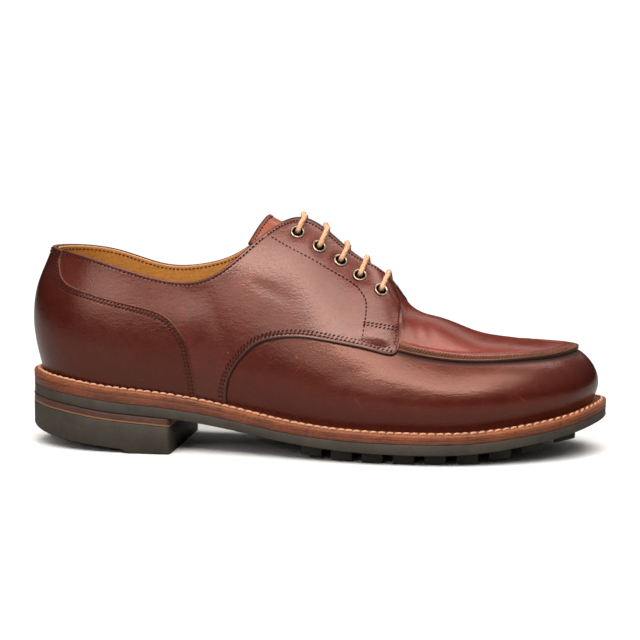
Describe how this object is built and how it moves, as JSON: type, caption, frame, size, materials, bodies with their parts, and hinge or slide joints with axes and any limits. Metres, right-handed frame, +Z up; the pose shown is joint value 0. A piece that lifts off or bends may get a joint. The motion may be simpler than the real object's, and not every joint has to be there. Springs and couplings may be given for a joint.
{
  "type": "derby shoe",
  "caption": "Right-foot leather derby shoe: hollow upper with apron seam, open-laced quarters, heel counter and tongue, on a welted double sole with lugs and a stacked heel.",
  "frame": {"origin": "on the floor, under the middle of the shoe's box", "axes": "+X to the toe, -Y to the outer (lateral) side, +Z up"},
  "size_m": [0.3056, 0.109, 0.1254],
  "materials": {
    "upper_leather": "waxed, soft gloss",
    "counter_leather": "waxed, soft gloss",
    "tongue_leather": "waxed, soft gloss",
    "insole_leather": "matt",
    "welt_leather": "burnished edge",
    "midsole_leather": "burnished edge",
    "heel_leather": "burnished edge",
    "sole_rubber": "matt",
    "heel_rubber": "matt",
    "eyelet_brass": "antique",
    "lace_cord": "waxed cord"
  },
  "bodies": {
    "root": {"upper": "upper_leather", "quarter_lateral": "upper_leather", "quarter_medial": "upper_leather", "heel_counter": "counter_leather", "tongue": "tongue_leather", "insole": "insole_leather", "welt": "welt_leather", "midsole": "midsole_leather", "outsole": "sole_rubber", "heel_rand": "heel_leather", "heel_block": "heel_rubber", "eyelet_lateral_1": "eyelet_brass", "eyelet_lateral_2": "eyelet_brass", "eyelet_lateral_3": "eyelet_brass", "eyelet_lateral_4": "eyelet_brass", "eyelet_lateral_5": "eyelet_brass", "eyelet_medial_1": "eyelet_brass", "eyelet_medial_2": "eyelet_brass", "eyelet_medial_3": "eyelet_brass", "eyelet_medial_4": "eyelet_brass", "eyelet_medial_5": "eyelet_brass", "lace_bar_1": "lace_cord", "lace_bar_2": "lace_cord", "lace_bar_3": "lace_cord", "lace_bar_4": "lace_cord", "lace_bar_5": "lace_cord"}
  },
  "joints": []
}
